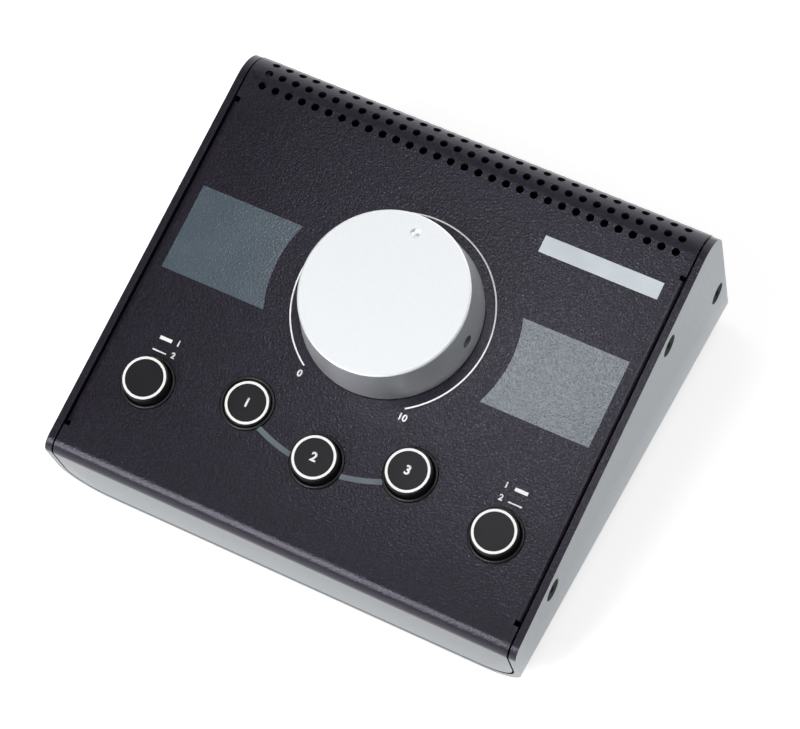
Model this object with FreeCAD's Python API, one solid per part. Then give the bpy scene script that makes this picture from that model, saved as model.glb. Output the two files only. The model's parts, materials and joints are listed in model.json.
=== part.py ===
"""Desktop studio monitor controller: a sloped sheet-metal case with a large volume knob on the panel,
five push buttons in front of it, rows of vent holes over the rear bend and audio jacks on the back.

Everything that follows the sloped panel is modelled in the panel frame (u, v, n): u to the right,
v up the slope towards the rear, n out of the panel, with zero on the knob's axis at the panel's face.
PANEL then turns it into the part's own frame: +Z up, front towards -Y, zero at the centre of the
part's box and on the surface it stands on. All lengths are in millimetres, angles in degrees.
"""
import FreeCAD, Part
import math
import os
from FreeCAD import Placement, Rotation, Vector

# ------------------------------------------------------------------ case
case_width = 188.0
panel_slope = 16.8
knob_height = 66.75         # knob axis at the panel's face, above the tray's underside
front_reach = 96.0          # knob axis to the front face, along the slope
rear_reach = 73.0           # knob axis to the rear face, along the slope
face_lean = 2.2             # front and rear faces, from square to the panel: both lean forward below it
front_bend_r = 5.0          # outside radius of the cover's front bend and of the walls' front corners
rear_bend_r = 13.5          # the walls' rear corners
cover_rear_bend_r = 12.5    # outside radius of the cover's rear bend
tray_t = 2.7                # tray sheet: bottom plate and side walls
tray_bend_r = 18.0          # outside radius between bottom plate and side wall
sheet_t = 1.2               # sheet of the cover and of the rear panel
edge_gap = 0.7              # cut edges of the cover and rear panel to the walls
bottom_gap = 1.2            # and to the tray's bottom plate
cover_lip = 14.0            # straight part of the cover below its rear bend
lap = 9.0                   # how far the rear panel reaches up behind that lip
foot_h = 3.0
foot_r = 6.5
foot_taper = 0.8
foot_inset_x = 26.0         # foot centres, in from the sides
foot_inset_y = 20.0         # and in from the front and rear

# Side flanges of the cover and of the rear panel, and the screws that hold them to the walls
flange_gap = 0.2            # flange face to wall face
flange_bend_r = 2.5
flange_depth = 16.0
relief = 2.0                # width of the notch at each end of a flange
flange_from_front = 12.7    # ends of the cover's flange, from the front and rear faces
flange_from_rear = 23.0
rear_flange_top = 28.0      # ends of the rear panel's flange, below the panel's face
rear_flange_low = 72.0
screw_drop = 8.7            # the cover's screws, below the panel's face
front_screw_in = 28.7       # and in from the front and rear faces
middle_screw_in = 44.1
rear_screw_drop = 46.9      # the rear panel's screw, below the panel's face
screw_r = 1.95
screw_length = 8.0
screw_head_r = 4.2
screw_sunk = 0.2            # head below the wall's outer face
screw_clear = 0.15          # shank to the holes it passes
seat_clear = 0.05           # between round pieces that seat in each other
clinch_nut_r = 3.5
clinch_nut_h = 3.0
nut_clear = 0.05            # clinch nut to the bend of the rear panel's flange
hex_key = 2.5               # across flats of the sockets in the screw heads
hex_key_depth = 1.4

# Vent holes: rows of equal holes across the rear bend
vent_r = 1.5
vent_count = 31
vent_margin = 5.25          # outer holes, in from the ends of the flat sheet
vent_rows = 4
vent_row_pitch = 5.7
vent_before_bend = 1.5      # first row, ahead of the bend's start

# ------------------------------------------------------------------ volume control
knob_base_r = 33.3
knob_top_r = 30.9
knob_rise = 19.62           # knob's top above the panel
knob_edge = 0.6             # chamfer round the top face
knob_gap = 0.8              # knob to panel
knob_wall = 2.6
knob_top_t = 3.0
knob_boss_r = 8.0
dimple_r = 2.2
dimple_half_width = 1.95
dimple_from_axis = 24.1
dimple_turn = 1.5           # clockwise from straight up
key_hole_r = 2.4            # access hole for the set screw, in the knob's side
set_screw_turn = 93.7       # clockwise from straight up
set_screw_rise = 8.6
set_screw_r = 2.0
set_screw_length = 5.0
set_screw_key = 2.0         # across flats of its socket
shaft_r = 3.0
shaft_flat = 1.5            # depth of the flat on the shaft
shaft_rise = 15.0
shaft_run = 0.05            # running clearance of the shaft in its bushing
bushing_r = 4.5
bushing_rise = 4.4
pot_size = 17.0
pot_h = 8.8
pot_corner = 1.0
washer_r = 7.0
washer_t = 0.6
nut_flats = 12.0
nut_t = 2.4
panel_hole_clear = 0.2
spacer_r = 7.0

# ------------------------------------------------------------------ push buttons
select_inset = 24.44        # the two outer buttons, in from the sides
select_down = 59.35         # and down the slope from the knob's axis
trio_spread = 32.51         # the outer two of the three inner ones, from the middle
trio_down = 51.92
middle_down = 60.97
button_rise = 5.42          # cap top of a button that stands out
latch_travel = 4.35         # how much lower a latched button stands
over_travel = 0.6           # what a button gives beyond its latch
cap_r = 8.6
cap_wall = 1.2
cap_top_t = 1.6
cap_skirt = 8.2             # cap height, top to skirt edge
cap_edge = 0.35
ring_r_out = 8.0
ring_r_in = 6.85
ring_t = 0.4
guide_r = 10.0
guide_clear = 0.3           # cap to guide
guide_proud = 0.7
guide_depth = 4.0
guide_flange_r = 12.0
guide_flange_t = 1.0
guide_edge = 0.5            # rounding of the sleeve's rim
boss_r = 3.4
boss_h = 3.4
socket_depth = 3.0
stem_r = 1.9
stem_run = 0.1
stem_grip = 1.0             # stem inside the switch at the top of its travel
switch_size = 8.5
switch_h = 8.0
switch_corner = 0.6
spring_r = 2.7              # mean radius of the return spring
spring_wire = 0.5
spring_turns = 4
spring_steps = 10           # straight steps in a turn

# ------------------------------------------------------------------ boards
board_drop = 16.0           # top of the control board, below the panel's face
board_t = 1.6
board_inset = 4.6           # boards, in from the ends of the flat sheet
board_from_front = 10.0
board_from_rear = 13.0
board_corner = 4.0
standoff_inset = 8.0        # standoff centres, in from the board's sides
standoff_front = 7.0        # and from its front and rear edges
standoff_rear = 12.0
standoff_r = 3.0
board_screw_r = 1.45
board_screw_head_r = 2.8
board_screw_head_h = 1.8
board_screw_length = 8.0
board_hole_clear = 0.15
jack_board_depth = 41.0     # rear panel to the jack board's front edge
jack_board_gap = 0.4
header_inset = 6.8          # middle of the headers, in from the jack board's front edge
header_width = 30.0
header_depth = 5.0
header_h = 6.0
ribbon_width = 26.0
ribbon_t = 0.9
ribbon_bow = 6.0

# ------------------------------------------------------------------ jacks
jack_count = 8
jack_inset = 14.9           # last large jack, in from the wall's inner face
mini_inset = 16.2           # small jack, in from the other wall
mini_to_jack = 20.9         # small jack to the first large one
jack_drop = 52.0            # jack axes below the panel's face
jack_width = 15.5
jack_height = 17.0
jack_depth = 26.0
jack_corner = 0.8
jack_bore_r = 3.2
jack_bore_depth = 29.0
jack_nose_r = 4.75
jack_nose = 5.6             # nose beyond the rear panel's face
jack_washer_r = 7.2
jack_washer_t = 0.6
jack_nut_flats = 12.7
jack_nut_t = 2.4
mini_width = 9.0
mini_depth = 14.0
mini_bore_r = 1.8
mini_bore_depth = 15.0
mini_nose_r = 3.0
mini_nose = 4.4
mini_nut_r = 4.6
mini_nut_t = 2.0

# ------------------------------------------------------------------ worked out from the above
sin_a = math.sin(math.radians(panel_slope))
cos_a = math.cos(math.radians(panel_slope))
half_width = case_width / 2
panel_z = foot_h + knob_height
tray_in = half_width - tray_t
flange_face = tray_in - flange_gap
flat_half = flange_face - flange_bend_r
edge_half = tray_in - edge_gap
board_half = flat_half - board_inset
panel_v = rear_reach - sheet_t          # outer face of the rear panel, behind the cover's lip
rear_bend = (rear_reach - rear_bend_r, -rear_bend_r)
rear_screw_in = sheet_t + flange_bend_r + nut_clear + clinch_nut_r
board_top = -board_drop
pot_top = board_top + pot_h
switch_top = board_top + switch_h
full_travel = latch_travel + over_travel
cap_low = button_rise - cap_skirt
boss_low = button_rise - cap_top_t - boss_h
jack_board_top = -jack_drop - jack_height / 2


def level(v, z):
    """n of the horizontal plane at height z, where it crosses v."""
    return (z - panel_z - v * sin_a) / cos_a


def leaned(v, n):
    """Turn a point about the rear bend by the rear face's lean."""
    turn = math.radians(-face_lean)
    dv, dn = v - rear_bend[0], n - rear_bend[1]
    leaned_v = rear_bend[0] + dv * math.cos(turn) - dn * math.sin(turn)
    leaned_n = rear_bend[1] + dv * math.sin(turn) + dn * math.cos(turn)
    return leaned_v, leaned_n


def rear_foot_y():
    """y of the rear face at the tray's underside, from the knob's axis."""
    v, n = leaned(rear_reach, -rear_bend_r)
    height = panel_z + v * sin_a + n * cos_a - foot_h
    return v * cos_a - n * sin_a + height * math.tan(math.radians(panel_slope - face_lean))


def front_nose_y():
    """y of the foremost point of the front bend, from the knob's axis."""
    return (front_bend_r - front_reach) * cos_a + front_bend_r * sin_a - front_bend_r


knob_y = -(rear_foot_y() + front_nose_y()) / 2
PANEL = Placement(Vector(0, knob_y, panel_z), Rotation(Vector(1, 0, 0), panel_slope))

select_u = half_width - select_inset
button_places = {
    "left_select": (-select_u, -select_down, 0.0),
    "left": (-trio_spread, -trio_down, -latch_travel),
    "middle": (0.0, -middle_down, 0.0),
    "right": (trio_spread, -trio_down, 0.0),
    "right_select": (select_u, -select_down, 0.0),
}

os.makedirs("parts", exist_ok=True)


def save(node, *solids):
    """Write one node in the part's own frame."""
    shape = solids[0] if len(solids) == 1 else Part.makeCompound(list(solids))
    shape.exportStep("parts/" + node + ".step")


def on_panel(shape):
    """Turn a shape from the panel frame into the part's own frame."""
    moved = shape.copy()
    moved.Placement = PANEL.multiply(moved.Placement)
    return moved


def at(shape, u, v, n=0.0):
    moved = shape.copy()
    moved.translate(Vector(u, v, n))
    return moved


def box(u, v, n):
    """A block between the pairs of limits u, v and n."""
    size = (max(u) - min(u), max(v) - min(v), max(n) - min(n))
    return Part.makeBox(*size, Vector(min(u), min(v), min(n)))


def rounded_corners(block, r):
    """Round the four edges of a block that run along n."""
    height = block.BoundBox.ZLength
    return block.makeFillet(r, [e for e in block.Edges if abs(e.BoundBox.ZLength - height) < height / 100])


def rod(r, low, high):
    return Part.makeCylinder(r, high - low, Vector(0, 0, low))


def tube(r_out, r_in, low, high):
    return rod(r_out, low, high).cut(rod(r_in, low, high))


def turned(points):
    """A solid of revolution about n, from the corners (r, n) of its half section."""
    corners = [Vector(r, 0, n) for r, n in points]
    section = Part.Face(Part.makePolygon(corners + corners[:1]))
    return section.revolve(Vector(0, 0, 0), Vector(0, 0, 1), 360)


def hexagon(flats, low, high):
    r = flats / math.sqrt(3)
    corners = [Vector(r * math.cos(k * math.pi / 3), r * math.sin(k * math.pi / 3), low) for k in range(7)]
    return Part.Face(Part.makePolygon(corners)).extrude(Vector(0, 0, high - low))


def facing_rear(shape):
    """Turn a shape made along n so that it points along v, out of the rear."""
    return shape.rotated(Vector(0, 0, 0), Vector(1, 0, 0), -90)


def lean_in(shape):
    """Turn a shape about the rear bend by the rear face's lean."""
    return shape.rotated(Vector(0, *rear_bend), Vector(1, 0, 0), -face_lean)


def facing_side(shape, side):
    """Turn a shape made along n so that it points out of the left (-1) or right (1) wall."""
    return shape.rotated(Vector(0, 0, 0), Vector(0, 1, 0), 90 * side)


# ------------------------------------------------------------------ case
def rear_centre_v(r):
    """v of a rear bend's centre, for a bend of outside radius r that meets the panel and the rear face."""
    lean = math.radians(face_lean)
    return rear_bend[0] + (rear_bend_r - r) * (1 + math.sin(lean)) / math.cos(lean)


def arc(centre, r, start, end):
    """An arc in the v-n plane about centre, from angle start to end in degrees, 0 along v."""
    ends = [math.radians(a) for a in (start, (start + end) / 2, end)]
    points = [Vector(0, centre[0] + r * math.cos(a), centre[1] + r * math.sin(a)) for a in ends]
    return Part.Arc(*points).toShape()


def case_profile(inset, rear_r, front_low, rear_low):
    """Edges of the side profile, moved in by inset: front face, bend, panel, bend, rear face."""
    front = arc((front_bend_r - front_reach, -front_bend_r), front_bend_r - inset, 180 - face_lean, 90)
    rear = arc((rear_centre_v(rear_r), -rear_r), rear_r - inset, 90, -face_lean)
    front_start, front_end = front.Vertexes[0].Point, front.Vertexes[-1].Point
    rear_start, rear_end = rear.Vertexes[0].Point, rear.Vertexes[-1].Point
    lean = math.tan(math.radians(face_lean))
    front_foot = Vector(0, front_start.y - (front_start.z - front_low) * lean, front_low)
    rear_foot = Vector(0, rear_end.y - (rear_end.z - rear_low) * lean, rear_low)
    return [
        Part.makeLine(front_foot, front_start),
        front,
        Part.makeLine(front_end, rear_start),
        rear,
        Part.makeLine(rear_end, rear_foot),
    ]


def across(edges, half):
    """Close edges of the v-n plane into a face and give it the width from -half to half."""
    first = edges[0].Vertexes[0].Point
    last = edges[-1].Vertexes[-1].Point
    if first.distanceToPoint(last) > 1e-6:
        edges = edges + [Part.makeLine(last, first)]
    solid = Part.Face(Part.Wire(edges)).extrude(Vector(2 * half, 0, 0))
    solid.translate(Vector(-half, 0, 0))
    return solid


def trough(half, bottom, r):
    """A long block with its two lower edges rounded by r, as wide as the space between the walls."""
    reach = 2 * (front_reach + rear_reach)
    top = panel_z + reach
    block = Part.makeBox(2 * half, reach, top - bottom, Vector(-half, -reach / 2, bottom))
    lower = [e for e in block.Edges if e.BoundBox.ZMax < bottom + 1e-3 and e.BoundBox.YLength > reach / 2]
    return block.makeFillet(r, lower)


def wall_screw_places():
    """(v, n) of the screws in each side wall: two for the cover and one for the rear panel."""
    return [
        (front_screw_in - front_reach, -screw_drop),
        (rear_reach - middle_screw_in, -screw_drop),
        leaned(rear_reach - rear_screw_in, -rear_screw_drop),
    ]


def at_walls(shape):
    """Copies of a shape, made along n with zero at a wall's outer face, at each screw of each wall."""
    copies = []
    for side in (-1, 1):
        for v, n in wall_screw_places():
            copies.append(at(facing_side(shape, side), side * half_width, v, n))
    return copies


def bottom_tray():
    outline = case_profile(0.0, rear_bend_r, level(-front_reach, foot_h), level(rear_reach, foot_h))
    solid = on_panel(across(outline, half_width))
    solid = solid.common(trough(half_width, foot_h, tray_bend_r))
    solid = solid.cut(trough(tray_in, foot_h + tray_t, tray_bend_r - tray_t))
    hole_r = screw_r + screw_clear
    mouth_r = screw_head_r + screw_sunk + seat_clear
    countersink = turned([(0, 0), (mouth_r, 0), (hole_r, hole_r - mouth_r), (hole_r, -tray_t), (0, -tray_t)])
    return solid.cut(Part.makeCompound([on_panel(s) for s in at_walls(countersink)]))


def side_flange(length):
    """A bend and flange: sheet face at z = 0, bend start at x = 0, running along y from 0 to length."""
    inner_r = flange_bend_r - sheet_t
    centre = Vector(0, 0, -flange_bend_r)
    turn = math.sqrt(0.5)
    corners = [
        Vector(0, 0, 0),
        Vector(flange_bend_r, 0, -flange_bend_r),
        Vector(flange_bend_r, 0, -flange_depth),
        Vector(inner_r, 0, -flange_depth),
        Vector(inner_r, 0, -flange_bend_r),
        Vector(0, 0, -sheet_t),
    ]
    outer = Part.Arc(corners[0], centre + Vector(turn, 0, turn) * flange_bend_r, corners[1]).toShape()
    inner = Part.Arc(corners[4], centre + Vector(turn, 0, turn) * inner_r, corners[5]).toShape()
    edges = [outer]
    edges += [Part.makeLine(corners[k], corners[k + 1]) for k in (1, 2, 3)]
    edges += [inner, Part.makeLine(corners[5], corners[0])]
    return Part.Face(Part.Wire(edges)).extrude(Vector(0, length, 0))


def both_sides(shape):
    return [shape, shape.mirror(Vector(0, 0, 0), Vector(1, 0, 0))]


def flange_holes():
    hole = rod(screw_r + screw_clear, -half_width, 0)
    return Part.makeCompound([
        at(facing_side(hole, side), side * half_width, v, n)
        for side in (-1, 1)
        for v, n in wall_screw_places()
    ]).cut(box((-flat_half, flat_half), (-case_width, case_width), (-case_width, case_width)))


def vent_tools():
    """Drills for the vent holes, each square to the sheet where it goes through."""
    tools = []
    bend_v, bend_r = rear_centre_v(cover_rear_bend_r), cover_rear_bend_r
    pitch = 2 * (flat_half - vent_margin) / (vent_count - 1)
    drill = rod(vent_r, -2 * sheet_t, sheet_t)
    for row in range(vent_rows):
        along = row * vent_row_pitch - vent_before_bend
        lean = math.degrees(max(along, 0.0) / bend_r)
        v = bend_v + min(along, 0.0)
        placed = at(drill, 0, 0, bend_r).rotated(Vector(0, 0, 0), Vector(1, 0, 0), -lean)
        for k in range(vent_count):
            u = (k - (vent_count - 1) / 2) * pitch
            tools.append(at(placed, u, v, -bend_r))
    return tools


def inside_tray(shape):
    """Cut a sheet that stands in the tray to its rounded inner corners, with the gaps."""
    space = trough(edge_half, foot_h + tray_t + bottom_gap, tray_bend_r - tray_t - edge_gap)
    return on_panel(shape).common(space)


def top_cover():
    low = level(0.0, 0.0) - case_width / 4
    lip_low = -rear_bend_r - cover_lip
    outer = across(case_profile(0.0, cover_rear_bend_r, low, low), edge_half)
    inner_low = low - sheet_t
    inner = across(case_profile(sheet_t, cover_rear_bend_r, inner_low, inner_low), edge_half + sheet_t)
    under_lip = box((-case_width, case_width), (0, 2 * rear_reach), (lip_low, 2 * low))
    sheet = outer.cut(inner).cut(lean_in(under_lip))
    start = flange_from_front - front_reach
    end = rear_reach - flange_from_rear
    side_strip = box((flat_half, case_width), (start - relief, end + relief), (-2 * sheet_t, sheet_t))
    sheet = sheet.cut(Part.makeCompound(both_sides(side_strip)))
    for flange in both_sides(at(side_flange(end - start), flat_half, start)):
        sheet = sheet.fuse(flange)
    tools = vent_tools()
    through = (-2 * sheet_t, sheet_t)
    tools.append(rod(bushing_r + panel_hole_clear, *through))
    for u, v, drop in button_places.values():
        tools.append(at(rod(guide_r + panel_hole_clear, *through), u, v))
    sheet = sheet.cut(Part.makeCompound(tools)).cut(flange_holes())
    return inside_tray(sheet)


def jack_places():
    """u of the large jacks, and of the small one beside them."""
    small = mini_inset - tray_in
    first = small + mini_to_jack
    last = tray_in - jack_inset
    row = [first + k * (last - first) / (jack_count - 1) for k in range(jack_count)]
    return row, small


def rear_panel():
    top = lap - rear_bend_r - cover_lip
    low = level(rear_reach, 0.0) - sheet_t
    sheet = box((-edge_half, edge_half), (panel_v - sheet_t, panel_v), (low, top))
    start, end = -rear_flange_top, -rear_flange_low
    side_strip = box((flat_half, case_width), (0, rear_reach), (start + relief, end - relief))
    sheet = sheet.cut(Part.makeCompound(both_sides(side_strip)))
    flange = facing_rear(side_flange(start - end))
    for flange in both_sides(at(flange, flat_half, panel_v, start)):
        sheet = sheet.fuse(flange)
    row, small = jack_places()
    hole = facing_rear(rod(jack_nose_r + panel_hole_clear, -2 * sheet_t, sheet_t))
    small_hole = facing_rear(rod(mini_nose_r + panel_hole_clear, -2 * sheet_t, sheet_t))
    tools = [at(hole, u, panel_v, -jack_drop) for u in row]
    tools.append(at(small_hole, small, panel_v, -jack_drop))
    sheet = lean_in(sheet.cut(Part.makeCompound(tools))).cut(flange_holes())
    return inside_tray(sheet)


def side_screw():
    """A countersunk machine screw along n, its zero at the wall's outer face."""
    face = -screw_sunk
    neck = face - (screw_head_r - screw_r)
    end = face - screw_length
    solid = turned([(0, face), (screw_head_r, face), (screw_r, neck), (screw_r, end), (0, end)])
    return solid.cut(hexagon(hex_key, face - hex_key_depth, face))


def clinch_nut():
    back = flange_face - sheet_t - half_width
    return tube(clinch_nut_r, screw_r + seat_clear, back - clinch_nut_h, back)


def rubber_feet():
    foot = turned([(0, foot_h), (foot_r, foot_h), (foot_r - foot_taper, 0), (0, 0)])
    x = half_width - foot_inset_x
    front_y = front_nose_y() + knob_y + foot_inset_y
    rear_y = rear_foot_y() + knob_y - foot_inset_y
    return [at(foot, side * x, y) for side in (-1, 1) for y in (front_y, rear_y)]


save("bottom_tray", bottom_tray())
save("top_cover", top_cover())
save("rear_panel", rear_panel())
save("side_screws", *[on_panel(s) for s in at_walls(side_screw())])
save("clinch_nuts", *[on_panel(s) for s in at_walls(clinch_nut())])
save("rubber_feet", *rubber_feet())


# ------------------------------------------------------------------ volume control
def volume_knob():
    """Turned aluminium cap with a boss for the shaft; the set screw is reached through the side."""
    top, rim = knob_rise, knob_rise - knob_edge
    ceiling = top - knob_top_t
    boss_low = bushing_rise + knob_gap
    inner_base = knob_base_r - knob_wall
    inner_top = knob_top_r - knob_wall
    solid = turned([
        (0, top), (knob_top_r - knob_edge, top), (knob_top_r, rim), (knob_base_r, knob_gap),
        (inner_base, knob_gap), (inner_top, ceiling), (knob_boss_r, ceiling), (knob_boss_r, boss_low),
        (0, boss_low),
    ])
    socket = d_shaft(shaft_r + seat_clear, boss_low, shaft_rise + seat_clear)
    dimple_low = math.sqrt(dimple_r ** 2 - dimple_half_width ** 2)
    dimple = Part.makeSphere(dimple_r, Vector(0, dimple_from_axis, top + dimple_low))
    key_hole = rod(key_hole_r, knob_boss_r + knob_wall, knob_base_r)
    screw_hole = rod(set_screw_r + seat_clear, 0, knob_boss_r)
    solid = solid.cut(Part.makeCompound([clockwise(dimple, dimple_turn), towards_key(key_hole)]))
    return solid.cut(towards_key(screw_hole)).cut(socket)


def clockwise(shape, angle):
    """Turn a shape about the knob's axis, clockwise as seen from above the panel."""
    return shape.rotated(Vector(0, 0, 0), Vector(0, 0, 1), -angle)


def towards_key(shape):
    """Turn a shape made along n so that it lies along the set screw."""
    return clockwise(at(facing_rear(shape), 0, 0, set_screw_rise), set_screw_turn)


def d_shaft(r, low, high):
    """A round shaft with a flat towards the set screw above the bushing."""
    flat = box((-r, r), (r - shaft_flat, 2 * r), (bushing_rise + knob_gap, high))
    return rod(r, low, high).cut(clockwise(flat, set_screw_turn))


def set_screw():
    start = shaft_r + seat_clear - shaft_flat
    end = start + set_screw_length
    solid = rod(set_screw_r, start, end).cut(hexagon(set_screw_key, end - hex_key_depth, end))
    return towards_key(solid)


def pot_body():
    """Square body of the potentiometer, standing on the control board."""
    half = pot_size / 2
    body = rounded_corners(box((-half, half), (-half, half), (board_top, pot_top)), pot_corner)
    return body.cut(rod(shaft_r + screw_clear, board_top + board_t, pot_top))


save("volume_knob", on_panel(volume_knob()))
save("knob_set_screw", on_panel(set_screw()))
save("pot_shaft", on_panel(d_shaft(shaft_r, board_top + board_t + screw_clear, shaft_rise)))
save("pot_body", on_panel(pot_body()))
save("pot_bushing", on_panel(tube(bushing_r, shaft_r + shaft_run, pot_top, bushing_rise)))
save("pot_spacer", on_panel(tube(spacer_r, bushing_r + seat_clear, pot_top, -sheet_t)))
save("pot_washer", on_panel(tube(washer_r, bushing_r + seat_clear, 0, washer_t)))
pot_nut = hexagon(nut_flats, washer_t, washer_t + nut_t)
save("pot_nut", on_panel(pot_nut.cut(rod(bushing_r + seat_clear, washer_t, washer_t + nut_t))))


# ------------------------------------------------------------------ push buttons
def button_cap():
    """Hollow cap with a boss for the switch's stem and a groove for the white ring."""
    top = button_rise
    ceiling = top - cap_top_t
    groove = top - ring_t
    solid = turned([
        (0, top), (ring_r_in - seat_clear, top), (ring_r_in - seat_clear, groove),
        (ring_r_out + seat_clear, groove), (ring_r_out + seat_clear, top), (cap_r - cap_edge, top),
        (cap_r, top - cap_edge), (cap_r, cap_low), (cap_r - cap_wall, cap_low),
        (cap_r - cap_wall, ceiling), (boss_r, ceiling), (boss_r, boss_low), (0, boss_low),
    ])
    return solid.cut(rod(stem_r + seat_clear, boss_low, boss_low + socket_depth))


def button_guide():
    """Moulded sleeve that the cap runs in; its flange lies against the panel from below."""
    inner = cap_r + guide_clear
    flange_top = -sheet_t
    flange_low = flange_top - guide_flange_t
    solid = turned([
        (inner, guide_proud), (guide_r, guide_proud), (guide_r, flange_top), (guide_flange_r, flange_top),
        (guide_flange_r, flange_low), (guide_r, flange_low), (guide_r, -guide_depth), (inner, -guide_depth),
    ])
    return solid.makeFillet(guide_edge, [e for e in solid.Edges if e.BoundBox.ZMin > guide_proud - guide_edge])


def switch_body():
    half = switch_size / 2
    body = rounded_corners(box((-half, half), (-half, half), (board_top, switch_top)), switch_corner)
    well = switch_top - stem_grip - full_travel - over_travel
    return body.cut(rod(stem_r + stem_run, well, switch_top))


def return_spring(low, high):
    """Coil spring of square wire between two heights, its coil drawn in short straight steps."""
    steps = spring_turns * spring_steps
    rise = (high - low - spring_wire) / steps
    corners = []
    for k in range(steps + 1):
        turn = 2 * math.pi * k / spring_steps
        height = low + spring_wire / 2 + k * rise
        corners.append(Vector(spring_r * math.cos(turn), spring_r * math.sin(turn), height))
    path = Part.makePolygon(corners)
    half = spring_wire / 2
    first = corners[0]
    square = [first + Vector(a * half, 0, b * half) for a, b in ((-1, -1), (1, -1), (1, 1), (-1, 1), (-1, -1))]
    return path.makePipeShell([Part.makePolygon(square)], True, True, 1)


save("button_guides", *[on_panel(at(button_guide(), u, v)) for u, v, drop in button_places.values()])
ring = tube(ring_r_out, ring_r_in, button_rise - ring_t, button_rise)
stem = rod(stem_r, switch_top - stem_grip, boss_low + socket_depth)
for name, (u, v, drop) in button_places.items():
    save(name + "_cap", on_panel(at(button_cap(), u, v, drop)))
    save(name + "_ring", on_panel(at(ring, u, v, drop)))
    save(name + "_stem", on_panel(at(stem, u, v, drop)))
    save(name + "_switch", on_panel(at(switch_body(), u, v)))
    save(name + "_spring", on_panel(at(return_spring(switch_top, boss_low + drop - seat_clear), u, v)))


# ------------------------------------------------------------------ boards
board_v = (board_from_front - front_reach, rear_reach - board_from_rear)
jack_board_rear = panel_v - sheet_t - jack_board_gap
header_v = jack_board_rear - jack_board_depth + header_inset


def board(u, v, top):
    return rounded_corners(box(u, v, (top - board_t, top)), board_corner)


def standoff_places():
    front = board_v[0] + standoff_front
    rear = board_v[1] - standoff_rear
    u = board_half - standoff_inset
    return [(side * u, v) for side in (-1, 1) for v in (front, (front + rear) / 2, rear)]


def control_board():
    plate = board((-board_half, board_half), board_v, board_top)
    hole = rod(board_screw_r + board_hole_clear, board_top - board_t, board_top)
    return plate.cut(Part.makeCompound([at(hole, u, v) for u, v in standoff_places()]))


def board_screw():
    seat = board_top - board_t
    head = seat - board_screw_head_h
    solid = turned([
        (0, head), (board_screw_head_r, head), (board_screw_head_r, seat), (board_screw_r, seat),
        (board_screw_r, head + board_screw_length), (0, head + board_screw_length),
    ])
    return solid.cut(hexagon(hex_key, head, head + hex_key_depth / 2))


def jack_board():
    v = (jack_board_rear - jack_board_depth, jack_board_rear)
    return lean_in(board((-board_half, board_half), v, jack_board_top))


def headers():
    u = (-header_width / 2, header_width / 2)
    v = (header_v - header_depth / 2, header_v + header_depth / 2)
    upper = box(u, v, (board_top - board_t - header_h, board_top - board_t))
    lower = box(u, v, (jack_board_top, jack_board_top + header_h))
    return upper, lean_in(lower)


def ribbon_cable():
    """Flat ribbon between the two headers, in one shallow bow."""
    high = board_top - board_t - header_h
    low = jack_board_top + header_h
    sides = []
    for v in (header_v - ribbon_t / 2, header_v + ribbon_t / 2):
        top, foot = Vector(0, v, high), Vector(0, *leaned(v, low))
        middle = (top + foot) / 2 - Vector(0, ribbon_bow, 0)
        sides.append([top, middle, foot])
    front, rear = sides
    edges = [
        Part.Arc(*front).toShape(),
        Part.makeLine(front[2], rear[2]),
        Part.Arc(*rear[::-1]).toShape(),
        Part.makeLine(rear[0], front[0]),
    ]
    return across(edges, ribbon_width / 2)


standoff = tube(standoff_r, board_screw_r + seat_clear, board_top, -sheet_t)
save("control_board", on_panel(control_board()))
save("board_standoffs", *[on_panel(at(standoff, u, v)) for u, v in standoff_places()])
save("board_screws", *[on_panel(at(board_screw(), u, v)) for u, v in standoff_places()])
save("jack_board", on_panel(jack_board()))
save("board_headers", *[on_panel(s) for s in headers()])
save("ribbon_cable", on_panel(ribbon_cable()))


# ------------------------------------------------------------------ jacks
def jack(width, depth, nose_r, nose, bore_r, bore_depth):
    """A board jack along n, zero at the rear panel's outer face: block, threaded nose and plug bore."""
    half = jack_height / 2
    body = box((-width / 2, width / 2), (-half, half), (-sheet_t - depth, -sheet_t))
    body = rounded_corners(body, jack_corner).fuse(rod(nose_r, -sheet_t, nose))
    return body.cut(rod(bore_r, nose - bore_depth, nose))


def at_rear(shape, u):
    return on_panel(lean_in(at(facing_rear(shape), u, panel_v, -jack_drop)))


row, small = jack_places()
large_jack = jack(jack_width, jack_depth, jack_nose_r, jack_nose, jack_bore_r, jack_bore_depth)
for k, u in enumerate(row, 1):
    save("jack_%d" % k, at_rear(large_jack, u))
washer = tube(jack_washer_r, jack_nose_r + seat_clear, 0, jack_washer_t)
save("jack_washers", *[at_rear(washer, u) for u in row])
nut_top = jack_washer_t + jack_nut_t
nut = hexagon(jack_nut_flats, jack_washer_t, nut_top).cut(rod(jack_nose_r + seat_clear, 0, nut_top))
save("jack_nuts", *[at_rear(nut, u) for u in row])
small_jack = jack(mini_width, mini_depth, mini_nose_r, mini_nose, mini_bore_r, mini_bore_depth)
save("mini_jack", at_rear(small_jack, small))
save("mini_jack_nut", at_rear(tube(mini_nut_r, mini_nose_r + seat_clear, 0, mini_nut_t), small))
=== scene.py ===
"""Looks of a desktop studio monitor controller: a finish for every CAD node, the return springs in round
wire, the printed marks on its panel and buttons, a few fine edges, and a plain white studio. Everything is
in metres, in the CAD model's frame. Lengths that a maker gives in millimetres are multiplied by MM."""

import json
import math

import bpy
from mathutils import Matrix, Quaternion, Vector


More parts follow.
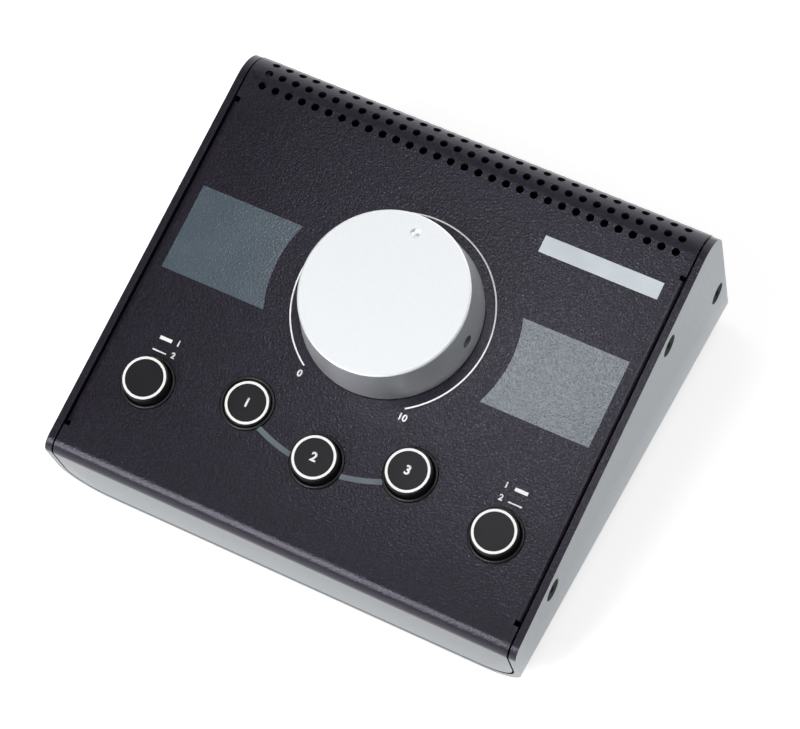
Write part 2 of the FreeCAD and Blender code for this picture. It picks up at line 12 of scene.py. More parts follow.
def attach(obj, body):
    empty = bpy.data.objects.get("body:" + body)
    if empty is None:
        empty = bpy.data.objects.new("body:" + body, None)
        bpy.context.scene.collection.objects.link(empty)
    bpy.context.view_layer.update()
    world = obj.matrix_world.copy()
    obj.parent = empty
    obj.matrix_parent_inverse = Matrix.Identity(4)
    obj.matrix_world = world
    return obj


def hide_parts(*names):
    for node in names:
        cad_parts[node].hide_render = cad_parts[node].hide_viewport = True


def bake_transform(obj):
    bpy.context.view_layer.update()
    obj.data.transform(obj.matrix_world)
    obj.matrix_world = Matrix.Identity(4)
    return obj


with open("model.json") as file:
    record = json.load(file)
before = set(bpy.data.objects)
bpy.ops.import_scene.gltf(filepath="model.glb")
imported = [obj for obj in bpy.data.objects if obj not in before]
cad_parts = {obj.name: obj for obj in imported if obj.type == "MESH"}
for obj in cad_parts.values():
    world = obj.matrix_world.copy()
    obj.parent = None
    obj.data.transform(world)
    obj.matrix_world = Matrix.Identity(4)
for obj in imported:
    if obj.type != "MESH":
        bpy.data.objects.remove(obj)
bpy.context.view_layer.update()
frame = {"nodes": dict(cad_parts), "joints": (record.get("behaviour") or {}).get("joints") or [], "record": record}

MM = 0.001
MICRON = 0.000001

# The panel's own frame has u to the right, v up the slope and n outwards, and its zero on the knob's axis.
knob_turn = next(joint for joint in frame["joints"] if joint["name"] == "volume_turn")
panel_slope = math.atan2(-knob_turn["axis"][1], knob_turn["axis"][2])
PANEL = Matrix.Translation(knob_turn["pos_m"]) @ Matrix.Rotation(panel_slope, 4, "X")


def panel_reach(node):
    """The lowest and the highest u, v and n of a CAD node, in millimetres."""
    points = [PANEL.inverted() @ vertex.co / MM for vertex in frame["nodes"][node].data.vertices]
    return [[end(point[axis] for point in points) for axis in range(3)] for end in (min, max)]


def on_panel(u, v, n=0.0):
    """A place on the panel, in millimetres, as a matrix."""
    return PANEL @ Matrix.Translation(Vector((u, v, n)) * MM)


# Where the frame has the buttons and the knob: each cap's centre and top, and the knob's top
button_spots = {}
cap_tops = {}
for button in ("left_select", "left", "middle", "right", "right_select"):
    lowest, highest = panel_reach(button + "_cap")
    button_spots[button] = tuple(round((lowest[axis] + highest[axis]) / 2, 2) for axis in (0, 1))
    cap_tops[button] = round(highest[2], 2)
knob_top = round(panel_reach("volume_knob")[1][2], 2)


def cap_face(button):
    """The middle of a cap's top, as a matrix."""
    return on_panel(*button_spots[button], cap_tops[button])


# Printed marks, in millimetres and degrees
ink_film = (-0.01, 0.05)        # underside and face of the ink, from the surface it is printed on
scale_r, scale_width = 37.1, 0.55
scale_end = knob_turn["range_deg"][1]
link_r, link_width = 63.3, 2.0
guide_hole_r = 10.2             # where the links stop at a button
patch_inner, patch_outer = 38.0, 85.54      # the inner side is then cut round
patch_low, patch_high = -18.22, 15.73
patch_arc_r = 47.0
title_u, title_v = (38.4, 84.6), (40.3, 46.9)
scale_number_height, mark_number_height, cap_number_height = 2.6, 2.3, 3.4
scale_numbers_v = -34.4
numeral_share = 0.73            # a numeral's height as a share of its font size
numeral_weight = 0.048          # how far its outline is thickened, as a share of its height
numeral_steps = 6               # straight steps along each curve of its outline
arc_step = 2.5                  # degrees from step to step along an arc
patch_arc_sides = 256

# Fine edges and springs, in millimetres and degrees
cap_lip_r, cap_lip_width = 6.93, 0.26     # the cap's black edge, over the ring's inner edge
spring_r, spring_wire, spring_turns = 2.7, 0.5, 4
wire_sides, coil_steps = 10, 24           # sides of the round wire, and steps in each turn
wire_sharp_from = 40                      # more than the 36 between its sides, so it is smooth all round
bore_r, bore_wall = 2.36, 0.07            # the key bore in the knob's side, and the thin darker tube in it that paints the shade inside the bore
bore_from, bore_to = 29.8, 32.1           # its ends, from the knob's axis
bore_slant = 7.5                          # from its square end to its mouth, as the knob's side leans
bore_bearing, bore_rise = 93.7, 8.6       # its way out, clockwise from straight up, and its height
bore_sides = 64

# Mesh work, in degrees and millimetres
sharp_from = 30                           # faces that meet at more than this keep a sharp edge
cad_merge_gap = 0.002
numeral_merge_gap = 0.005
merge_gap = 0.001


# ------------------------------------------------------------------ colours and finishes
def linear(hex_colour):
    """An sRGB hex colour as linear red, green, blue and alpha."""
    channels = [int(hex_colour[start:start + 2], 16) / 255 for start in (1, 3, 5)]
    return tuple(c / 12.92 if c <= 0.04045 else ((c + 0.055) / 1.055) ** 2.4 for c in channels) + (1.0,)


def add(tree, kind, sockets=None, **settings):
    """A node with its settings. Each socket takes a value, or a link from another node's output."""
    node = tree.nodes.new("ShaderNode" + kind)
    for name, value in settings.items():
        setattr(node, name, value)
    for name, value in (sockets or {}).items():
        if isinstance(value, bpy.types.NodeSocket):
            tree.links.new(value, node.inputs[name])
        else:
            node.inputs[name].default_value = value
    return node


def new_material(name):
    """An empty material, its nodes and output, and the piece's own coordinates in metres."""
    material = bpy.data.materials.new(name)
    material.use_nodes = True
    tree = material.node_tree
    tree.nodes.clear()
    output = add(tree, "OutputMaterial")
    place = add(tree, "TexCoord").outputs["Object"]
    return material, tree, output, place


noise_range = {"From Min": 0.3, "From Max": 0.7}     # what a noise texture mostly keeps to
rough_spread = 0.04                                  # how far a grain takes roughness either way
drift_size = 12 * MM
knob_edge = (0.5, 0.1)                               # below its top, where its side gives way to it


def powder_coat(name):
    """Satin black powder coat, sprayed on sheet metal and baked. It leaves a fine orange peel that breaks
    up what the coat mirrors, and paler, glossier specks. Seen at a flat angle its relief no longer
    scatters, so the walls mirror the white table clearly. Real specks and peel are finer: these are drawn
    as coarse as they need to show."""
    satin_rough, speck_rough, flat_angle_rough = 0.34, 0.17, 0.1
    speck_size, peel_size, peel_depth = 0.35 * MM, 0.8 * MM, 60 * MICRON
    speck_from, speck_full = 0.59, 0.72
    flat_from, flat_full = 0.5, 0.9
    material, tree, output, place = new_material(name)
    powder = add(tree, "TexNoise", {"Vector": place, "Scale": 1 / speck_size, "Detail": 0.0})
    specks = add(tree, "MapRange", {
        "Value": powder.outputs["Fac"],
        "From Min": speck_from,
        "From Max": speck_full,
    })
    colour = add(tree, "Mix", {
        "Factor": specks.outputs["Result"],
        "A": linear("#100c15"),
        "B": linear("#3c3945"),
    }, data_type="RGBA")
    facing_rough = add(tree, "MapRange", {
        "Value": specks.outputs["Result"],
        "To Min": satin_rough,
        "To Max": speck_rough,
    })
    rough = add(tree, "MapRange", {
        "Value": add(tree, "LayerWeight", {"Blend": 0.5}).outputs["Facing"],
        "From Min": flat_from,
        "From Max": flat_full,
        "To Min": facing_rough.outputs["Result"],
        "To Max": flat_angle_rough,
    })
    peel = add(tree, "TexNoise", {"Vector": place, "Scale": 1 / peel_size, "Detail": 0.0})
    relief = add(tree, "Bump", {"Height": peel.outputs["Fac"], "Distance": peel_depth, "Strength": 1.0})
    shader = add(tree, "BsdfPrincipled", {
        "Base Color": colour.outputs["Result"],
        "Roughness": rough.outputs["Result"],
        "IOR": 1.46,
        "Specular Tint": linear("#f1edff"),
        "Normal": relief.outputs["Normal"],
    })
    tree.links.new(shader.outputs[0], output.inputs["Surface"])
    return material


def moulded_or_printed(name, dark, light, rough, grain_mm=0.25, relief_um=3.0, ior=1.46):
    """Moulded plastic or rubber, printed ink, solder mask or black plating: one colour all through, which
    drifts a little over a centimetre, and the fine grain of the tool, screen or bath that made it. The
    grain is drawn coarser than it is, so that it shows."""
    material, tree, output, place = new_material(name)
    drift = add(tree, "TexNoise", {"Vector": place, "Scale": 1 / drift_size, "Detail": 1.0})
    colour = add(tree, "Mix", {
        "Factor": add(tree, "MapRange", {"Value": drift.outputs["Fac"], **noise_range}).outputs["Result"],
        "A": linear(dark),
        "B": linear(light),
    }, data_type="RGBA")
    grain = add(tree, "TexNoise", {"Vector": place, "Scale": 1 / (grain_mm * MM), "Detail": 0.0})
    roughness = add(tree, "MapRange", {
        "Value": grain.outputs["Fac"],
        **noise_range,
        "To Min": rough - rough_spread,
        "To Max": rough + rough_spread,
    })
    relief = add(tree, "Bump", {
        "Height": grain.outputs["Fac"],
        "Distance": relief_um * MICRON,
        "Strength": 1.0,
    })
    shader = add(tree, "BsdfPrincipled", {
        "Base Color": colour.outputs["Result"],
        "Roughness": roughness.outputs["Result"],
        "IOR": ior,
        "Normal": relief.outputs["Normal"],
    })
    tree.links.new(shader.outputs[0], output.inputs["Surface"])
    return material


def metal(name, dark, light, rough, grain_mm, relief_um, stretch=(1.0, 1.0, 1.0), blasted_top=None):
    """Bare, plated or anodised metal. Its surface blurs what it mirrors: blasting and plating leave an even
    frost, and turning leaves fine lines along the tool's way, which stretch draws out. Both are drawn
    coarser than they are, so that they show. The knob's top alone is blasted rougher, to blasted_top,
    which spreads what it mirrors into one pale grey."""
    material, tree, output, place = new_material(name)
    tool_way = add(tree, "Mapping", {"Vector": place, "Scale": stretch})
    grain = add(tree, "TexNoise", {
        "Vector": tool_way.outputs["Vector"],
        "Scale": 1 / (grain_mm * MM),
        "Detail": 2.0,
    })
    colour = add(tree, "Mix", {
        "Factor": add(tree, "MapRange", {"Value": grain.outputs["Fac"], **noise_range}).outputs["Result"],
        "A": linear(dark),
        "B": linear(light),
    }, data_type="RGBA")
    smoothest, roughest = rough - rough_spread, rough + rough_spread
    if blasted_top:
        height = add(tree, "VectorMath", {0: place, 1: knob_turn["axis"]}, operation="DOT_PRODUCT")
        top = Vector(knob_turn["pos_m"]).dot(Vector(knob_turn["axis"])) + knob_top * MM
        smoothest, roughest = (add(tree, "MapRange", {
            "Value": height.outputs["Value"],
            "From Min": top - knob_edge[0] * MM,
            "From Max": top - knob_edge[1] * MM,
            "To Min": rough + spread,
            "To Max": blasted_top + spread,
        }).outputs["Result"] for spread in (-rough_spread, rough_spread))
    roughness = add(tree, "MapRange", {
        "Value": grain.outputs["Fac"],
        **noise_range,
        "To Min": smoothest,
        "To Max": roughest,
    })
    relief = add(tree, "Bump", {
        "Height": grain.outputs["Fac"],
        "Distance": relief_um * MICRON,
        "Strength": 1.0,
    })
    shader = add(tree, "BsdfPrincipled", {
        "Base Color": colour.outputs["Result"],
        "Metallic": 1.0,
        "Roughness": roughness.outputs["Result"],
        "Normal": relief.outputs["Normal"],
    })
    tree.links.new(shader.outputs[0], output.inputs["Surface"])
    return material


# One finish for each material slot of the record
finishes = {
    # Powder coat on the case: nearly black, with a fine sparkle
    "black_powder_coat": powder_coat("satin_black_powder_coat"),
    # Screws plated matt black: their heads show no highlight
    "black_screw_steel": moulded_or_printed("matt_black_plated_steel", "#08080a", "#0e0e10", 0.85,
                                            0.3, 2.0, 1.3),
    # Zinc plate: pale and cool, with a soft shine
    "zinc_plated_steel": metal("zinc_plated_steel", "#a9adb0", "#bfc3c6", 0.34, 0.6, 2.0),
    # Moulded rubber: dark grey with hardly any shine
    "rubber": moulded_or_printed("moulded_rubber", "#161616", "#1f1f1f", 0.8, 0.4, 8.0, 1.5),
    # Anodised aluminium knob: its side shades from light to dark, its top is evenly pale
    "silver_aluminium": metal("blasted_anodised_aluminium", "#eceef0", "#f6f8f9", 0.47, 0.22, 1.5,
                              blasted_top=0.7),
    # Black oxide: dark, but still a metal's shine
    "black_oxide_steel": metal("black_oxide_steel", "#2a2a2b", "#363637", 0.4, 0.4, 1.0),
    # Turned steel: bright, with fine rings from the tool
    "turned_steel": metal("turned_steel", "#b4b5b7", "#c9cacb", 0.28, 0.3, 1.0, (0.1, 0.1, 1.0)),
    # Turned brass: yellow, with the same rings
    "brass": metal("turned_brass", "#b8974f", "#cbab62", 0.3, 0.3, 1.0, (0.1, 0.1, 1.0)),
    # Moulded ABS: black, with the soft sheen of a spark-eroded tool
    "black_plastic": moulded_or_printed("black_abs", "#121213", "#19191a", 0.38),
    # Solder mask: green with a soft gloss, a little uneven over the glass weave
    "circuit_board": moulded_or_printed("solder_mask_on_fibreglass", "#11502c", "#17603a", 0.35,
                                        0.8, 4.0, 1.5),
    # PVC ribbon: plain mid grey
    "grey_ribbon": moulded_or_printed("pvc_ribbon", "#8f9091", "#9fa0a1", 0.5, 0.6, 4.0, 1.5),
    # Bright nickel: warm and nearly a mirror
    "nickel_nut": metal("bright_nickel", "#c4c0b6", "#d3cfc6", 0.18, 0.5, 0.6),
    # Moulded nylon of the jacks: black, duller than ABS
    "jack_plastic": moulded_or_printed("black_nylon", "#101011", "#171718", 0.45),
    # Satin ABS of the caps: black with a hint of violet, and only a faint shine
    "cap_plastic": moulded_or_printed("satin_black_abs", "#100d13", "#16131a", 0.36, 0.2, 2.0, 1.4),
    # White ABS of the rings: bright and half matt
    "white_ring": moulded_or_printed("white_abs", "#eeeeec", "#f6f6f4", 0.4, 0.3, 1.5),
    # Natural acetal: milky white
    "stem_plastic": moulded_or_printed("natural_acetal", "#d9d8d2", "#e2e1db", 0.4),
    # Moulded nylon of the switches: black and dull
    "switch_plastic": moulded_or_printed("black_nylon_switch", "#141415", "#1b1b1c", 0.45),
    # Drawn spring wire: bright, with a fine grain
    "spring_steel": metal("drawn_spring_steel", "#9c9da0", "#b0b1b4", 0.3, 0.2, 0.8),
}
# Bare drilled metal inside the key bore, drawn darker than the anodised knob round it as painted shade inside the
# bore
bore_painted_shade_metal = metal("bore_painted_shade_aluminium", "#96989b", "#9fa1a4", 0.5, 0.3, 1.5)
# Screen inks: opaque films, duller than the coat. The grey one alone is a glossy film, which follows the
# orange peel under it and mirrors the room as a pale sheen.
white_ink = moulded_or_printed("white_screen_ink", "#ececec", "#f6f6f6", 0.55, 0.3, 4.0)
pale_ink = moulded_or_printed("pale_grey_screen_ink", "#bfc7cc", "#cbd3d8", 0.5, 0.7, 9.0)
grey_ink = moulded_or_printed("grey_screen_ink", "#4a555e", "#4f5a63", 0.185, 0.62, 48.0, 1.6)
link_ink = moulded_or_printed("dark_grey_screen_ink", "#59646c", "#616c74", 0.4, 0.7, 9.0)

slot_of = {part["node"]: part["material_slot"] for part in frame["record"]["subparts"]}
body_of = {node: body for body, nodes in frame["record"]["behaviour"]["bodies"].items() for node in nodes}


def finish_in(piece, material):
    """Give a piece this finish and no other."""
    piece.data.materials.clear()
    piece.data.materials.append(material)


for node, cad_piece in frame["nodes"].items():
    finish_in(cad_piece, finishes[slot_of[node]])


# ------------------------------------------------------------------ ways of modelling
def pick(piece):
    """Select this piece alone and make it the active one."""
    bpy.ops.object.select_all(action="DESELECT")
    piece.select_set(True)
    bpy.context.view_layer.objects.active = piece


def started(name):
    """The primitive that was just added, under its name."""
    piece = bpy.context.object
    piece.name = name
    piece.data.name = name
    return piece


def own_copy(piece, name):
    """A new piece with a mesh of its own, copied from another's."""
    copy = bpy.data.objects.new(name, piece.data.copy())
    copy.data.name = name
    bpy.context.scene.collection.objects.link(copy)
    return copy


def merge_vertices(gap):
    """Join the points that lie closer than a gap, in edit mode, and leave the whole mesh selected."""
    bpy.ops.mesh.select_all(action="SELECT")
    bpy.ops.mesh.remove_doubles(threshold=gap * MM)
    bpy.ops.mesh.select_all(action="SELECT")


def put(piece, place):
    """Move a piece made about its own zero to its place, which then lies in its mesh."""
    pick(piece)
    piece.matrix_world = place
    bpy.ops.object.transform_apply(location=True, rotation=True, scale=True)


def fit(piece, material, place=PANEL, body="case"):
    """Put a piece made about its own zero in its place, in its finish, on the body that carries it."""
    put(piece, place)
    finish_in(piece, material)
    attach(piece, body)


def thicken(piece, low, high):
    """Give a flat piece its thickness between two heights, in millimetres, with closed sides."""
    pick(piece)
    bpy.ops.object.mode_set(mode="EDIT")
    bpy.ops.mesh.select_all(action="SELECT")
    bpy.ops.mesh.normals_make_consistent(inside=False)
    bpy.ops.transform.translate(value=(0, 0, low * MM))
    bpy.ops.mesh.extrude_region_move(TRANSFORM_OT_translate={"value": (0, 0, (high - low) * MM)})
    bpy.ops.mesh.select_all(action="SELECT")
    bpy.ops.mesh.normals_make_consistent(inside=False)
    bpy.ops.object.mode_set(mode="OBJECT")


def bar(name, u, v):
    """A flat bar of ink between two corners."""
    centre = Vector(((u[0] + u[1]) / 2, (v[0] + v[1]) / 2, 0)) * MM
    bpy.ops.object.select_all(action="DESELECT")
    bpy.ops.mesh.primitive_plane_add(size=1.0, location=centre)
    piece = started(name)
    piece.scale = ((u[1] - u[0]) * MM, (v[1] - v[0]) * MM, 1.0)
    bpy.ops.object.transform_apply(location=True, rotation=True, scale=True)
    thicken(piece, *ink_film)
    return piece


def arc_band(name, r, width, start, end):
    """A flat band along an arc about zero, in degrees clockwise from straight up. One side of a square is
    laid across the band, turned to the start and spun to the end."""
    bpy.ops.object.select_all(action="DESELECT")
    bpy.ops.mesh.primitive_plane_add(size=1.0, location=(0, r * MM, 0))
    piece = started(name)
    piece.scale = (width * MM, width * MM, 1.0)
    bpy.ops.object.transform_apply(location=True, rotation=True, scale=True)
    bpy.ops.object.mode_set(mode="EDIT")
    bpy.ops.mesh.select_mode(type="EDGE")
    bpy.ops.mesh.select_all(action="DESELECT")
    bpy.ops.object.mode_set(mode="OBJECT")
    points = piece.data.vertices
    side = min(piece.data.edges, key=lambda edge: sum(points[key].co.x for key in edge.vertices))
    for key in side.vertices:
        points[key].co.x = 0.0
    side.select = True
    bpy.ops.object.mode_set(mode="EDIT")
    bpy.ops.mesh.select_mode(type="EDGE")
    bpy.ops.mesh.select_all(action="INVERT")
    bpy.ops.mesh.delete(type="EDGE_FACE")
    bpy.ops.mesh.select_all(action="SELECT")
    bpy.ops.transform.rotate(value=math.radians(start), orient_axis="Z", center_override=(0, 0, 0))
    steps = max(2, round((end - start) / arc_step))
    bpy.ops.mesh.spin(steps=steps, angle=math.radians(end - start), center=(0, 0, 0), axis=(0, 0, 1))
    merge_vertices(merge_gap)
    bpy.ops.object.mode_set(mode="OBJECT")
    thicken(piece, *ink_film)
    return piece


def numeral(name, figures, height):
    """Plain figures in ink, centred on zero, as a mesh."""
    bpy.ops.object.select_all(action="DESELECT")
    bpy.ops.object.text_add(location=(0, 0, 0))
    text = bpy.context.object.data
    text.body = figures
    text.size = height * MM / numeral_share
    text.offset = height * MM * numeral_weight
    text.resolution_u = numeral_steps
    text.align_x = "CENTER"
    text.align_y = "CENTER"
    bpy.ops.object.convert(target="MESH")
    piece = started(name)
    bpy.ops.object.mode_set(mode="EDIT")
    merge_vertices(numeral_merge_gap)
    bpy.ops.object.mode_set(mode="OBJECT")
    thicken(piece, *ink_film)
    return piece


def cut_round(piece, r, sides):
    """Cut away what lies within a radius of zero."""
    bpy.ops.object.select_all(action="DESELECT")
    bpy.ops.mesh.primitive_cylinder_add(vertices=sides, radius=r * MM, depth=4 * MM)
    cutter = started("round_cutter")
    cut = piece.modifiers.new("round_cut", "BOOLEAN")
    cut.object = cutter
    cut.operation = "DIFFERENCE"
    cut.solver = "EXACT"
    pick(piece)
    bpy.ops.object.modifier_apply(modifier=cut.name)
    bpy.data.objects.remove(cutter)


# ------------------------------------------------------------------ smooth pieces
def smooth_copy(node):
    """A merged copy of a CAD node, smooth over its round faces and sharp at its edges."""
    piece = own_copy(frame["nodes"][node], node + "_smooth")
    pick(piece)
    bpy.ops.object.mode_set(mode="EDIT")
    merge_vertices(cad_merge_gap)
    bpy.ops.object.mode_set(mode="OBJECT")
    bpy.ops.mesh.customdata_custom_splitnormals_clear()
    bpy.ops.object.shade_smooth_by_angle(angle=math.radians(sharp_from))
    finish_in(piece, finishes[slot_of[node]])
    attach(piece, body_of[node])
    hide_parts(node)


round_nodes = ["bottom_tray", "top_cover", "rear_panel", "side_screws", "rubber_feet", "volume_knob",
               "button_guides", "mini_jack", "mini_jack_nut", "jack_nuts", "jack_washers"]
round_nodes += ["jack_%d" % number for number in range(1, 9)]
round_nodes += [button + part for button in button_spots for part in ("_cap", "_ring")]
for node in round_nodes:
    smooth_copy(node)


# ------------------------------------------------------------------ return springs
def return_spring(button):
    """A coil of round wire that stands on the switch under the cap, where the CAD spring was."""
    node = button + "_spring"
    lowest, highest = panel_reach(node)
    low, high = lowest[2], highest[2]
    bpy.ops.object.select_all(action="DESELECT")
    bpy.ops.mesh.primitive_circle_add(vertices=wire_sides, radius=spring_wire / 2 * MM,
                                      rotation=(math.radians(90), 0, 0),
                                      location=(spring_r * MM, 0, (low + spring_wire / 2) * MM))
    piece = started(node + "_coil")
    bpy.ops.object.transform_apply(location=True, rotation=True, scale=True)
    coil = piece.modifiers.new("coil", "SCREW")
    coil.axis = "Z"
    coil.iterations = spring_turns
    coil.screw_offset = (high - low - spring_wire) / spring_turns * MM
    coil.steps = coil.render_steps = coil_steps
    bpy.ops.object.modifier_apply(modifier=coil.name)
    bpy.ops.object.mode_set(mode="EDIT")
    merge_vertices(merge_gap)
    bpy.ops.mesh.fill_holes(sides=0)
    bpy.ops.mesh.select_all(action="SELECT")
    bpy.ops.mesh.normals_make_consistent(inside=False)
    bpy.ops.object.mode_set(mode="OBJECT")
    bpy.ops.object.shade_smooth_by_angle(angle=math.radians(wire_sharp_from))
    put(piece, on_panel(*button_spots[button]))
    finish_in(piece, finishes["spring_steel"])
    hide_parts(node)
    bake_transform(piece)


for button in button_spots:
    return_spring(button)


# ------------------------------------------------------------------ printed marks
fit(arc_band("volume_scale", scale_r, scale_width, -scale_end, scale_end), white_ink)
for name, figures, u in (("scale_low_number", "0", -20.3), ("scale_high_number", "10", 20.8)):
    fit(numeral(name, figures, scale_number_height), white_ink, on_panel(u, scale_numbers_v))

for name, u in (("left_patch", (-patch_outer, -patch_inner)), ("right_patch", (patch_inner, patch_outer))):
    patch = bar(name, u, (patch_low, patch_high))
    cut_round(patch, patch_arc_r, patch_arc_sides)
    fit(patch, grey_ink)


def link_gap(button):
    """Half the angle that a button's hole takes out of the link's arc."""
    off_line = math.hypot(*button_spots[button]) - link_r
    return math.degrees(math.sqrt(guide_hole_r ** 2 - off_line ** 2) / link_r)


def bearing(button):
    """A button's direction from the knob's axis, in degrees clockwise from straight up."""
    return math.degrees(math.atan2(*button_spots[button])) % 360


for first, second in (("middle", "left"), ("right", "middle")):
    link = arc_band("link_" + first + "_" + second, link_r, link_width,
                    bearing(first) + link_gap(first), bearing(second) - link_gap(second))
    fit(link, link_ink)

# The marks above the two select buttons and the numbers beside them, with their centres
for name, u, v, width, height in (
    ("left_mark_1", -70.95, -42.3, 4.9, 1.3),
    ("left_mark_2", -71.15, -47.35, 5.5, 0.55),
    ("right_mark_1", 71.0, -41.8, 5.0, 1.3),
    ("right_mark_2", 70.9, -46.9, 5.25, 0.55),
):
    fit(bar(name, (u - width / 2, u + width / 2), (v - height / 2, v + height / 2)), white_ink)

for name, figure, u, v in (
    ("left_mark_number_1", "1", -65.9, -42.1),
    ("left_mark_number_2", "2", -65.7, -46.9),
    ("right_mark_number_1", "1", 65.2, -41.7),
    ("right_mark_number_2", "2", 65.3, -46.5),
):
    fit(numeral(name, figure, mark_number_height), white_ink, on_panel(u, v))

fit(bar("title_bar", title_u, title_v), pale_ink)

for button, figure in (("left", "1"), ("middle", "2"), ("right", "3")):
    number = numeral(button + "_cap_number", figure, cap_number_height)
    fit(number, white_ink, cap_face(button), button + "_button")

# ------------------------------------------------------------------ fine moulded edges, and painted shade in the drilled key bore
cap_lip = arc_band("cap_lip", cap_lip_r, cap_lip_width, -180, 180)     # all the way round
for button in button_spots:
    lip = own_copy(cap_lip, button + "_cap_lip")
    fit(lip, finishes["cap_plastic"], cap_face(button), button + "_button")
bpy.data.objects.remove(cap_lip)


def key_bore_painted_shade():
    """A thin tube of darker metal in the key bore of the knob's side, which paints the shade inside the bore. Its
    mouth lies flush with that slanting side.
    """
    half_length = (bore_to - bore_from) / 2 * MM
    bpy.ops.object.select_all(action="DESELECT")
    bpy.ops.mesh.primitive_cylinder_add(vertices=bore_sides, radius=bore_r * MM, depth=2 * half_length,
                                        end_fill_type="NOTHING")
    shade_tube = started("knob_key_bore_painted_shade")
    bpy.ops.object.mode_set(mode="EDIT")
    bpy.ops.mesh.select_mode(type="VERT")
    bpy.ops.mesh.select_all(action="DESELECT")
    bpy.ops.object.mode_set(mode="OBJECT")
    for point in shade_tube.data.vertices:
        point.select = point.co.z > 0
    bpy.ops.object.mode_set(mode="EDIT")
    bpy.ops.transform.rotate(value=math.radians(-bore_slant), orient_axis="X",
                             center_override=(0, 0, half_length))
    bpy.ops.object.mode_set(mode="OBJECT")
    wall = shade_tube.modifiers.new("wall", "SOLIDIFY")
    wall.thickness = bore_wall * MM
    wall.offset = 1.0
    bpy.ops.object.modifier_apply(modifier=wall.name)
    bearing = Matrix.Rotation(math.radians(-bore_bearing), 4, "Z")
    laid_down = Matrix.Rotation(math.radians(-90), 4, "X")
    outwards = Matrix.Translation((0, 0, (bore_from + bore_to) / 2 * MM))
    fit(shade_tube, bore_painted_shade_metal, on_panel(0, 0, bore_rise) @ bearing @ laid_down @ outwards, "volume_control")


key_bore_painted_shade()


# ------------------------------------------------------------------ studio
floor_side = 12.0
aim = (0.0, 0.0, 0.05)          # the middle of the object, where the lamps point
floor_glow = 0.62               # brings the floor up to white for the camera and keeps its shadow
floor_sheen = 0.85              # what gloss mirrors of it
room_level = 0.2                # what the white room adds to every surface
horizon_level = 0.35            # the walls behind the lamps, as gloss mirrors them
ceiling_level = 0.06            # the ceiling between the soft boxes, the same way
ceiling_from = (0.0, 0.5)       # where the walls give way to it, as the height of the ray
backdrop_level = 1.5            # the lit backdrop behind the table
backdrop_from = (0.15, 0.95)    # how far the ray points to the rear where it starts and where it is full
white = (1.0, 1.0, 1.0, 1.0)


def ray_kinds(tree):
    """Whether a ray comes straight from the camera, and whether metal or glass has sent it on."""
    path = add(tree, "LightPath")
    sent_on = add(tree, "Math", {
        0: path.outputs["Is Glossy Ray"],
        1: path.outputs["Is Transmission Ray"],
    }, operation="MAXIMUM")
    return path.outputs["Is Camera Ray"], sent_on.outputs[0]


def studio_floor():
    """White paint that takes the object's shadow, glows to white for the camera, and shows in gloss as a
    pale, slightly blue sheet."""
    bpy.ops.object.select_all(action="DESELECT")
    bpy.ops.mesh.primitive_plane_add(size=floor_side, location=(0, 0, 0))
    floor = started("studio_floor")
    material, tree, output, place = new_material("white_studio_floor")
    seen, mirrored = ray_kinds(tree)
    paint = add(tree, "BsdfDiffuse", {"Color": linear("#e6e6e6")})
    glow = add(tree, "Emission", {"Color": white, "Strength": floor_glow})
    sheen = add(tree, "Emission", {"Color": linear("#f5fcff"), "Strength": floor_sheen})
    lit_paint = add(tree, "AddShader", {0: paint.outputs[0], 1: glow.outputs[0]})
    mirrored_paint = add(tree, "AddShader", {0: paint.outputs[0], 1: sheen.outputs[0]})
    direct = add(tree, "MixShader", {0: seen, 1: paint.outputs[0], 2: lit_paint.outputs[0]})
    both = add(tree, "MixShader", {0: mirrored, 1: direct.outputs[0], 2: mirrored_paint.outputs[0]})
    tree.links.new(both.outputs[0], output.inputs["Surface"])
    finish_in(floor, material)


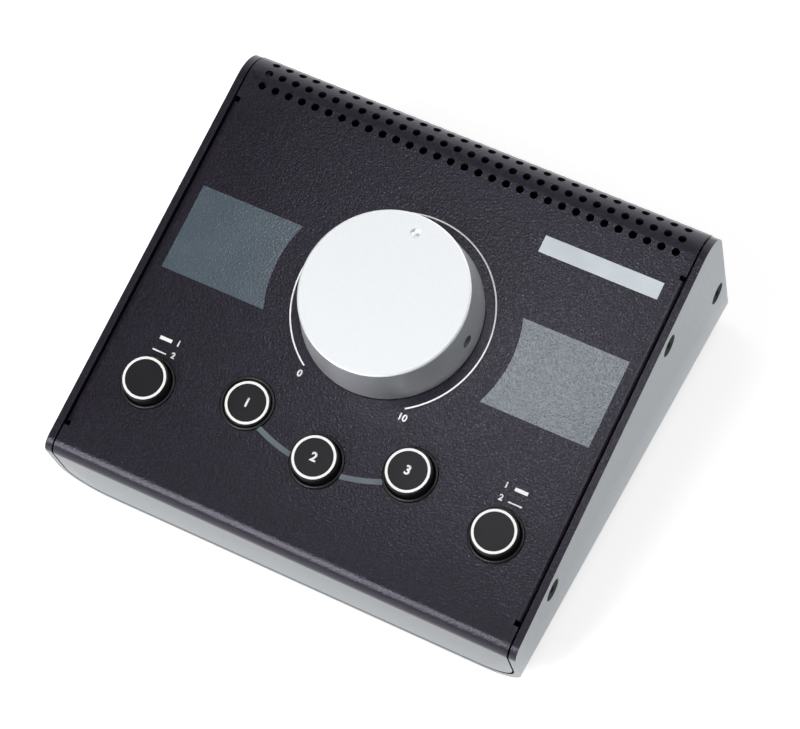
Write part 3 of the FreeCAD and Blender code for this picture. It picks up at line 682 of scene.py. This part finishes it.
def white_room():
    """A world that is white to the camera, a dim even light on every surface, and in gloss a room with grey
    walls, a dark ceiling and a lit backdrop at the rear."""
    world = bpy.data.worlds.new("white_studio")
    bpy.context.scene.world = world
    world.use_nodes = True
    tree = world.node_tree
    tree.nodes.clear()
    output = add(tree, "OutputWorld")
    seen, mirrored = ray_kinds(tree)
    way = add(tree, "SeparateXYZ", {0: add(tree, "TexCoord").outputs["Generated"]})
    ceiling = add(tree, "MapRange", {
        "Value": way.outputs["Z"],
        "From Min": ceiling_from[0],
        "From Max": ceiling_from[1],
        "To Min": horizon_level,
        "To Max": ceiling_level,
    })
    backdrop = add(tree, "MapRange", {
        "Value": way.outputs["Y"],
        "From Min": backdrop_from[0],
        "From Max": backdrop_from[1],
        "To Max": backdrop_level,
    })
    level = add(tree, "Math", {
        0: ceiling.outputs["Result"],
        1: backdrop.outputs["Result"],
    }, operation="ADD")
    room = add(tree, "Background", {"Color": white, "Strength": room_level})
    walls = add(tree, "Background", {"Color": white, "Strength": level.outputs[0]})
    background = add(tree, "Background", {"Color": white, "Strength": 1.0})
    on_object = add(tree, "MixShader", {0: mirrored, 1: room.outputs[0], 2: walls.outputs[0]})
    all_rays = add(tree, "MixShader", {0: seen, 1: on_object.outputs[0], 2: background.outputs[0]})
    tree.links.new(all_rays.outputs[0], output.inputs["Surface"])


def soft_box(name, place, size, power):
    """A rectangular lamp that points at the object."""
    light = bpy.data.lights.new(name, "AREA")
    light.shape = "RECTANGLE"
    light.size, light.size_y = size
    light.energy = power
    lamp = bpy.data.objects.new(name, light)
    bpy.context.scene.collection.objects.link(lamp)
    lamp.location = place
    lamp.rotation_euler = (Vector(aim) - lamp.location).to_track_quat("-Z", "Y").to_euler()


studio_floor()
white_room()
soft_box("top_box", place=(-0.215, -0.07, 1.3), size=(0.22, 0.3), power=1.12)
soft_box("right_box", place=(0.55, 0.1, 1.2), size=(0.7, 0.9), power=4.6)
soft_box("key_box", place=(-0.4, -1.03, 0.84), size=(0.55, 0.95), power=14.5)

# ------------------------------------------------------------------ camera
camera_place = (288.078, -230.156, 954.415)                  # u, v and n
camera_turn = (0.931851, 0.272682, 0.080063, 0.225586)       # in the CAD model's frame, as a quaternion
sensor_width, focal_length = 36.0, 129.61

lens = bpy.data.cameras.new("camera")
lens.sensor_width = sensor_width
lens.lens = focal_length
lens.clip_start = 0.05
lens.clip_end = 50.0
camera = bpy.data.objects.new("camera", lens)
bpy.context.scene.collection.objects.link(camera)
camera.location = on_panel(*camera_place).translation
camera.rotation_mode = "QUATERNION"
camera.rotation_quaternion = Quaternion(camera_turn)
bpy.context.scene.camera = camera
bpy.context.scene.view_settings.view_transform = "Standard"
